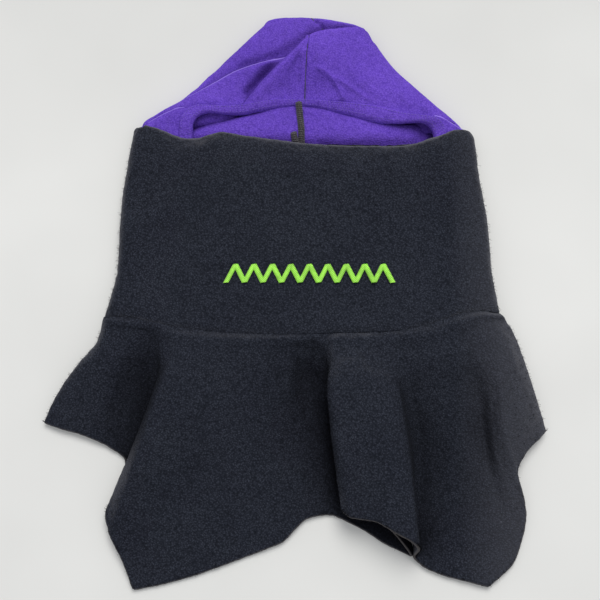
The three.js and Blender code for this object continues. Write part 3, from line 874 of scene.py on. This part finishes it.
# The fold along the left side, from its outer edge inwards; a painted highlight runs along that edge.
LEFT_FOLD = [
    [
        (-116.4, 120.5, 5), (-112.6, 125, 5.4), (-104.6, 131.6, 6), (-95, 137.2, 7), (-87, 141, 8),
        (-80.6, 144.2, 9.4), (-69, 150.2, 10.8), (-58, 156.4, 11.6), (-44, 164.4, 12),
        (-28, 170.4, 12), (-10, 175.6, 12), (11, 184, 13),
    ],
    [
        (-114, 118, 7), (-110, 122, 7.6), (-102.6, 129.4, 8), (-93.6, 135.2, 9), (-84.6, 140, 10.6),
        (-79, 142.6, 12), (-67, 148.2, 12.8), (-56, 153.6, 13.6), (-42.2, 161, 14),
        (-25.4, 167.6, 14), (-8.4, 173, 13.8), (12, 181, 14.2),
    ],
    [
        (-110, 114, 8.6), (-106, 118, 9.4), (-99, 124, 10.4), (-90.6, 130, 11.4), (-82, 135, 12.4),
        (-75, 138.4, 13.2), (-62.6, 142, 13.8), (-50, 146.6, 13.6), (-36, 152.4, 12.8),
        (-20, 160.6, 12), (-6, 167.6, 12), (14, 175, 12),
    ],
    [
        (-106, 110, 8.6), (-101, 112, 9.4), (-95, 116, 10.4), (-88, 122, 11), (-80, 129.4, 12),
        (-73, 134.6, 12.6), (-61, 136.2, 12.6), (-47, 137.2, 12.2), (-34, 139.6, 11.4),
        (-17, 149, 10.8), (-2, 158, 10.6), (16, 168, 10.6),
    ],
]
# The cheeks, from the collar up to the hood's lower corners.
CHEEK_LEFT = [
    [(-117.5, 98, 5), (-117.2, 108, 6), (-115.4, 120.4, 7)],
    [(-112, 98, 6.5), (-112, 111, 8.2), (-109.6, 123.4, 10.2)],
    [(-104, 98, 7.5), (-104, 112, 9.4), (-101.5, 127.4, 12.6)],
    [(-95, 98, 8), (-95, 112, 10.4), (-92.4, 131.4, 14)],
    [(-88, 98, 8), (-88, 110, 10.4), (-85.2, 134, 14.4)],
    [(-84, 98, 8), (-84, 109, 10), (-79.6, 134.6, 14)],
]
CHEEK_RIGHT = [
    [(111.6, 98, 7.5), (110.4, 112, 9.8), (105, 127.4, 13.4)],
    [(116, 98, 7), (115.4, 113, 9.4), (111, 125.6, 12.6)],
    [(122, 98, 6), (121.4, 110, 8.4), (119, 121.8, 10)],
    [(130, 98, 5), (129.4, 106, 6.4), (127.6, 118, 7)],
]
# The turned band round the face opening: its outer seam and its inner edge.
BAND_OUTER = [
    (-86, 96, 8), (-86, 109, 10.4), (-85, 122, 14.8), (-80.4, 132, 16), (-71, 136.2, 16),
    (-54, 135.8, 15), (-40, 137, 14), (-28, 139.4, 13.4), (-12, 141.8, 12.6), (6, 142, 11.8),
    (20, 141.2, 12.4), (36, 139.8, 13.4), (52, 137.8, 14.2), (66, 135, 15), (84, 130, 15.8),
    (99, 127.6, 16), (109, 124.8, 14.8), (113.6, 117.4, 11.4), (114.6, 96, 7.5),
]
BAND_INNER = [
    (-75.4, 96, 8), (-75.4, 109, 10.6), (-75, 120.6, 14.6), (-71.4, 127, 15.2), (-63, 130.2, 14.4),
    (-51, 129.6, 12.8), (-40, 129.8, 11.2), (-28, 132.4, 10.4), (-12, 135.4, 10), (4, 137, 9.8),
    (16, 136, 9.8), (30, 132.6, 10.2), (42, 129.6, 10.8), (53.5, 126, 12), (66.7, 122.8, 13),
    (79.9, 122, 14), (91.8, 122.6, 14.4), (99.6, 120.6, 13.2), (103.6, 113.6, 10.6), (105, 96, 7.5),
]
# The cloth inside the opening: its upper edge, and where it dives under the band.
INNER_TOP = [
    (-92, 112), (-82, 128), (-60, 134), (-30, 137), (0, 141), (30, 138), (60, 134), (90, 125),
    (108, 120), (116, 110),
]
INNER_DIVE = [
    (-92, 112), (-72, 119), (-45, 127.6), (-25, 132.6), (-8, 139), (22, 137), (36, 132), (52, 128),
    (66, 125), (80, 123.4), (92, 123), (116, 120),
]
POUCH_CREASES = (
    ([(13, 211), (15, 207.6), (21, 203), (23, 198)], -1.8, 1.0),
    ([(-40, 169), (-26, 174), (-8, 181), (8, 192), (24, 198), (48, 201)], -1.4, 2.4),
)
FLAP_CREASES = (
    ([(-6, 148), (4, 147), (16, 148)], -1.8, 6),
    ([(17.6, 164.4), (24.4, 160.6), (29.4, 155.4), (36.6, 142)], 1.3, 1.9),
    ([(18, 155), (27, 149)], -1.2, 5),
    ([(32.4, 155.6), (43, 148.6), (56.4, 140)], 1.1, 1.8),
    ([(46, 150), (52, 144)], -0.7, 3.4),
    ([(76, 145), (86, 138), (98, 134)], 0.8, 2.6),
    ([(1, 156), (2, 170)], -1.4, 5),
    ([(34, 186), (42, 176), (60, 166)], -0.8, 8),
)
INNER_LOW_Y, INNER_ROWS = 96, 48
SWELL_Y = 109.6  # where the nape cloth rises behind the collar
SWELL_END_X = 93


def inner_back(first_x, last_x, columns):
    """The back of the hood seen through the face opening: it swells, then dives under the band."""
    x = np.linspace(first_x, last_x, columns)[:, None] * np.ones((1, INNER_ROWS))
    y = INNER_LOW_Y + (curve_value(INNER_TOP, x) - INNER_LOW_Y) * np.linspace(1, 0, INNER_ROWS)[None, :]
    rise = 1 / (1 + np.exp(-(y - SWELL_Y) / 2.2))
    dive = 1 / (1 + np.exp((y - curve_value(INNER_DIVE, x) - 2) / 1.5))
    fall = 1 / (1 + np.exp((x - SWELL_END_X) / 4.5))
    wave = 0.5 * value_noise(np.stack([x, y, x * 0], axis=-1), 13, 61)
    return np.stack([x, y, 3.0 + 7.0 * rise * dive * fall + wave], axis=-1)


def blend_hood(piece):
    blend_from_collar(piece)


def sink_edge(grid, edge, depth, width):
    """Rounds the sheet down along one of its edges, where it folds under or is sewn."""
    crease(grid, edge[..., :2], -depth, width)


def hood_pouches():
    """The flattened sack of the hood, in a left and a right half."""
    guides = pouch_guides()
    halves = guides[: CROWN_GUIDE + 1], guides[CROWN_GUIDE:]
    pouches = [guided_sheet(half, 190, 70) for half in halves]
    for grid in pouches:
        crease_all(grid, POUCH_CREASES, above=5)
    return pouches


def front_flaps():
    left = guided_sheet(FLAP_LEFT, 50, 64)[:, ::-1]
    right = guided_sheet(FLAP_RIGHT, 110, 70)[:, ::-1]
    for grid in (left, right):
        crease_all(grid, FLAP_CREASES)
        grid[..., 2] += 0.3 * value_noise(grid, 16, 8) + 0.4 * value_noise(grid, 34, 9)
    sink_edge(left, left[0], 0.7, 1.2)
    sink_edge(left, left[:, 0], 0.8, 1.4)
    sink_edge(right, right[:70, 0], 0.8, 1.4)
    sink_edge(left, left[-1], 0.4, 0.9)
    sink_edge(right, right[0], 0.4, 0.9)
    return left, right


def left_fold():
    grid = guided_sheet(LEFT_FOLD, 40, 130)[:, ::-1]
    crease(grid, [(-34, 148), (-25, 158), (-14, 170), (-6, 177)], -2.8, 3.6)
    grid[..., 2] += 0.3 * value_noise(grid, 18, 7)
    sink_edge(grid, grid[0], 0.6, 1.0)
    return grid


def cheeks():
    left = guided_sheet(CHEEK_LEFT, 34, 34)[:, ::-1]
    sink_edge(left, left[:, 0], 1.4, 1.8)
    right = guided_sheet(CHEEK_RIGHT, 24, 30)[:, ::-1]
    crease(right, [(108, 122), (116, 117), (124, 111)], 0.5, 1.8)
    return left, right


def build_hood():
    # painted highlight along the fold's outer edge, three columns wide
    fold = thick_sheet(left_fold(), 2.8, segments=6, pile=HOOD_PILE, seed=32, edge_tint_and_highlight=3)
    insides = inner_back(-92, SEAM_X - 0.5, 70), inner_back(SEAM_X + 0.5, 116, 80)
    sides = ("left", [fold], (31, 33, 34, 38)), ("right", [], (35, 36, 37, 39))
    sheets = zip(sides, hood_pouches(), front_flaps(), cheeks(), insides)
    for (side, folds, seeds), pouch, flap, cheek, inside in sheets:
        parts = [thick_sheet(pouch, FLEECE, pile=HOOD_PILE, seed=seeds[0], cut=())] + folds + [
            thick_sheet(flap, 2.0, segments=6, pile=HOOD_PILE, seed=seeds[1], cut=()),
            # the cheeks' cut edges take the pale edge colour, a painted highlight along their folds
            thick_sheet(cheek, 2.8, segments=6, pile=HOOD_PILE, seed=seeds[2]),
            thick_sheet(inside, 2.0, pile=HOOD_PILE, seed=seeds[3], cut=()),
        ]
        blend_hood(make_piece(f"hood_{side}_cloth", parts, "purple_fleece", f"hood_{side}_panel"))


# ---- face band

BAND_SAMPLES = 400
BAND_THICK = 3.4
BAND_GAP = 0.001  # share of the band left open at the centre seam
# Share across the band, and height over the straight line from edge to edge.
BAND_SECTION = ((0.0, -1.2), (0.1, 0.5), (0.35, 1.0), (0.65, 1.0), (0.9, 0.4), (1.0, -0.8))
STITCH_ROWS = {"outer": (0.2, 0.38), "inner": (0.6, 0.78)}
STITCH_LIFT = 0.95
STITCH_STEP = 0.25


def band_edges():
    return smooth_path(BAND_OUTER, BAND_SAMPLES), smooth_path(BAND_INNER, BAND_SAMPLES)


def band_grid(start, end, columns):
    """The turned band round the face opening, from the outer seam to the inner edge."""
    outer, inner = band_edges()
    last = BAND_SAMPLES - 1
    pick = np.linspace(start * last, end * last, columns).astype(int)
    rows = []
    for share, lift in BAND_SECTION:
        row = outer[pick] * (1 - share) + inner[pick] * share
        row[:, 2] += lift
        rows.append(row)
    return np.stack([smooth_path(guide, 15) for guide in np.stack(rows, axis=1)])


def band_split():
    """Share along the band at which it crosses the centre seam, over the forehead."""
    outer = band_edges()[0]
    off_forehead = outer[:, 1] < 120
    return np.argmin(np.abs(outer[:, 0] - SEAM_X) + off_forehead * 1e3) / (BAND_SAMPLES - 1)


def stitch_row(line, length, gap, radius):
    """Short raised threads that dip into the cloth at both ends."""
    fine = resample(line, STITCH_STEP)
    step = int((length + gap) / STITCH_STEP)
    size = int(length / STITCH_STEP)
    parts = []
    for start in range(0, len(fine) - size, step):
        piece = fine[start:start + size:2].copy()
        bow = np.sin(np.linspace(0, math.pi, len(piece)))
        piece[:, 2] += 0.35 * bow - 0.3
        parts.append(tube(piece, radius, 5))
    return parts


def build_band():
    split = band_split()
    halves = (("left", 0.0, split - BAND_GAP, 41), ("right", split + BAND_GAP, 1.0, 42))
    for side, start, end, seed in halves:
        grid = band_grid(start, end, 190)
        grid[..., 2] += 0.25 * value_noise(grid, 8, seed)
        cloth = thick_sheet(grid, BAND_THICK, segments=6, pile=0.06, seed=seed, cut=())
        blend_hood(make_piece(f"face_hem_{side}_cloth", [cloth], "purple_fleece", f"face_hem_{side}"))
    outer, inner = band_edges()
    for name, shares in STITCH_ROWS.items():
        rows = []
        for share in shares:
            line = outer * (1 - share) + inner * share
            line[:, 2] += STITCH_LIFT
            rows += stitch_row(line, 2.0, 0.7, 0.2)
        node = f"face_hem_stitch_{name}"
        blend_hood(make_piece(f"face_hem_stitches_{name}", rows, "purple_thread", node))


# ---- overlock seams

COIL_STEP = 0.12
COIL_WIDTH, COIL_HEIGHT, COIL_PITCH = 4.2, 1.9, 1.6
COIL_RADIUS = 0.38
CORE_WIDTH, CORE_HEIGHT, CORE_THICK = 3.4, 1.3, 0.9
HOOD_SEAM_NAPE = [(4.6, 100, 4), (5.6, 110, 7.6), (5.4, 118, 10.2), (4.4, 129, 10.9), (3.4, 139, 11.6)]
HOOD_SEAM_FLAP = [(8, 142.4, 10), (8.4, 158, 12), (9, 170, 15.4), (9.8, 180, 17.6), (11.1, 188.8, 18.2)]
HOOD_SEAM_CROWN = [(13.4, 209.6, 6.8), (14.4, 207.6, 7.3), (17.4, 204.4, 7.5), (22, 199.6, 7.6)]
BACK_SEAM_LINE = [(5.4, 60, 2.6), (5, 90, 3), (3, 104, 5.4), (0.6, 111.4, 9), (-0.4, 116, 10.2)]
NECK_SEAM_LINE = [(-96, 101, 3.6), (-40, 103, 3.4), (20, 103, 3.4), (108, 101, 3.6)]
BIB_SEAM_LINE = [(-112, -27, 9), (-60, -31, 10), (20, -32, 10), (90, -29, 10), (120, -25, 9)]


def overlock_coil(line):
    """A thread coiled over a raw seam edge: loops across the seam as it runs along it."""
    spine = resample(line, COIL_STEP)
    direction = unit(np.gradient(spine, axis=0))
    side = unit(np.cross(direction, UP))
    up = np.cross(side, direction)
    angle = np.arange(len(spine)) * COIL_STEP / COIL_PITCH * 2 * math.pi
    wobble = 1 + 0.12 * value_noise(spine, 3.0, 77)
    path = (
        spine
        + side * (np.cos(angle) * COIL_WIDTH / 2 * wobble)[:, None]
        + up * (np.maximum(np.sin(angle), -0.3) * COIL_HEIGHT)[:, None]
    )
    return tube(path, COIL_RADIUS, 5)


def seam_core(line):
    """The edge of cloth that the thread wraps."""
    spine = resample(line, 1.0)
    side = unit(np.cross(np.gradient(spine, axis=0), UP))
    grid = np.stack([
        spine + side * share * CORE_WIDTH / 2 + UP * (CORE_HEIGHT * (1 - share * share) - 0.4)
        for share in (-1, -0.6, 0, 0.6, 1)
    ])
    return thick_sheet(grid, CORE_THICK, pile=0.05, seed=51)


def overlock_seam(line):
    return [seam_core(line), overlock_coil(line)]


def build_seams():
    nape = overlock_seam(smooth_path(HOOD_SEAM_NAPE, 60))
    outside = [tube(smooth_path(HOOD_SEAM_FLAP, 90), 0.26), tube(smooth_path(HOOD_SEAM_CROWN, 30), 0.34)]
    blend_hood(make_piece("hood_seam_overlock", nape + outside, "black_thread", "hood_center_seam"))
    for name, line, node in (
        ("collar_seam_overlock", BACK_SEAM_LINE, "collar_back_seam"),
        ("neck_seam_overlock", NECK_SEAM_LINE, "neck_seam"),
        ("bib_seam_overlock", BIB_SEAM_LINE, "bib_seam"),
    ):
        make_piece(name, overlock_seam(smooth_path(line, 120)), "black_thread", node, "collar")


# ---- embroidery

ZIGZAG_LEGS = 18
STROKE = 2.9
STITCH_SPACING = 0.42
STITCH_RADIUS = 0.27


def zigzag_corners():
    low, high = cad_box("embroidered_motif")
    centre = (low + high) / 2
    length = high[0] - low[0]
    height = high[1] - low[1] + 3
    return [
        np.array([
            centre[0] + length * (i / ZIGZAG_LEGS - 0.5),
            centre[1] + (0.5 if i % 2 else -0.5) * (height - STROKE),
        ])
        for i in range(ZIGZAG_LEGS + 1)
    ]


def satin_stitch(middle):
    """One thread across the stroke, with its ends sunk in the cloth."""
    share = np.linspace(-1, 1, 5)
    return tube(np.stack([
        middle[0] + STROKE * 0.62 * share,
        middle[1] + 0.25 * share,
        COLLAR_THICK + 0.7 + 0.45 * (1 - share**2) - 0.25 * share**4,
    ], axis=1), STITCH_RADIUS, 5)


def build_motif():
    """A zigzag stripe in satin stitch: threads laid side by side across the stroke."""
    corners = zigzag_corners()
    parts = []
    for a, b in zip(corners[:-1], corners[1:]):
        run = np.linalg.norm(b - a)
        direction = (b - a) / run
        count = int(run / STITCH_SPACING)
        parts += [satin_stitch(a + direction * run * k / count) for k in range(count + 1)]
    make_piece("embroidery_threads", parts, "lime_thread", "embroidered_motif", "collar")


def build_backing():
    """The non-woven sheet behind the embroidery, between the cloth and its lining."""
    low, high = cad_box("embroidery_backing")
    x, y = np.meshgrid(np.linspace(low[0], high[0], 90), np.linspace(high[1], low[1], 20), indexing="ij")
    plan = np.stack([x, y, x * 0], axis=-1)
    trimmed = y + 0.4 * value_noise(plan, 7, 81)
    z = high[2] - 0.3 + 0.1 * value_noise(plan, 12, 82)
    sheet = thick_sheet(np.stack([x, trimmed, z], axis=-1), 0.4, pile=0.02, seed=83)
    make_piece("embroidery_backing_sheet", [sheet], "stabiliser", "embroidery_backing", "collar")


# ---- stage, light, camera

FLOOR_HALF = 3.0
FLOOR_LEVEL = -0.0002  # just below the cloth, so that the two never share a plane
LAMP_PLACE = (0.6, 3.1, 3.9)
LAMP_SIZE, LAMP_POWER, LAMP_COLOUR = 3.3, 165.0, (1.0, 0.99, 0.97)
STUDIO_COLOUR, STUDIO_STRENGTH = (0.95, 0.965, 1.0, 1), 0.56
CAMERA_TARGET = (4.4, -8.6, 0.0)
CAMERA_DISTANCE = 608.0
CAMERA_ELEVATION = 80.0


def table_material():
    """A pale matt table, with painted shade that makes it a little darker at the back."""
    material, tree, shader, place = new_material("pale_table")
    mottle = noise(tree, place, 120.0)
    tone = ramp(tree, mottle, ((0.3, srgb(226, 226, 223)), (0.7, srgb(232, 232, 229))))
    # painted shade: the table's colour darkens towards the back
    back = add_node(tree, "SeparateXYZ", Vector=place).outputs["Y"]
    set_shader(tree, shader, {
        "Base Color": multiply(tree, tone, fade(tree, back, 0.06, 0.3, 1, 0.86)),
        "Roughness": 0.7,
        "Specular IOR Level": 0.2,
    })
    return material


def build_stage():
    floor = bpy.data.objects.new("floor", bpy.data.meshes.new("floor"))
    corners = ((-1, -1), (1, -1), (1, 1), (-1, 1))
    points = [(x * FLOOR_HALF, y * FLOOR_HALF, FLOOR_LEVEL) for x, y in corners]
    floor.data.from_pydata(points, [], [(0, 1, 2, 3)])
    floor.data.materials.append(table_material())
    show(floor)


def aim(thing, place, direction):
    thing.location = place
    thing.rotation_euler = direction.to_track_quat("-Z", "Y").to_euler()
    show(thing)


def build_lights():
    light = bpy.data.lights.new("window", "AREA")
    light.shape = "DISK"
    light.size = LAMP_SIZE
    light.energy = LAMP_POWER
    light.color = LAMP_COLOUR
    aim(bpy.data.objects.new("window", light), LAMP_PLACE, -Vector(LAMP_PLACE))
    world = bpy.data.worlds.new("studio")
    world.use_nodes = True
    background = world.node_tree.nodes["Background"]
    background.inputs["Color"].default_value = STUDIO_COLOUR
    background.inputs["Strength"].default_value = STUDIO_STRENGTH
    bpy.context.scene.world = world


def build_camera():
    data = bpy.data.cameras.new("camera")
    data.lens = 50
    data.sensor_width = 36
    camera = bpy.data.objects.new("camera", data)
    tilt = math.radians(CAMERA_ELEVATION)
    back = Vector((0, -math.cos(tilt), math.sin(tilt)))
    aim(camera, (Vector(CAMERA_TARGET) + back * CAMERA_DISTANCE) * MM, -back)
    bpy.context.scene.camera = camera
    bpy.context.scene.view_settings.view_transform = "Standard"


build_collar()
build_bib()
build_hood()
build_band()
build_seams()
build_motif()
build_backing()
build_stage()
build_lights()
build_camera()
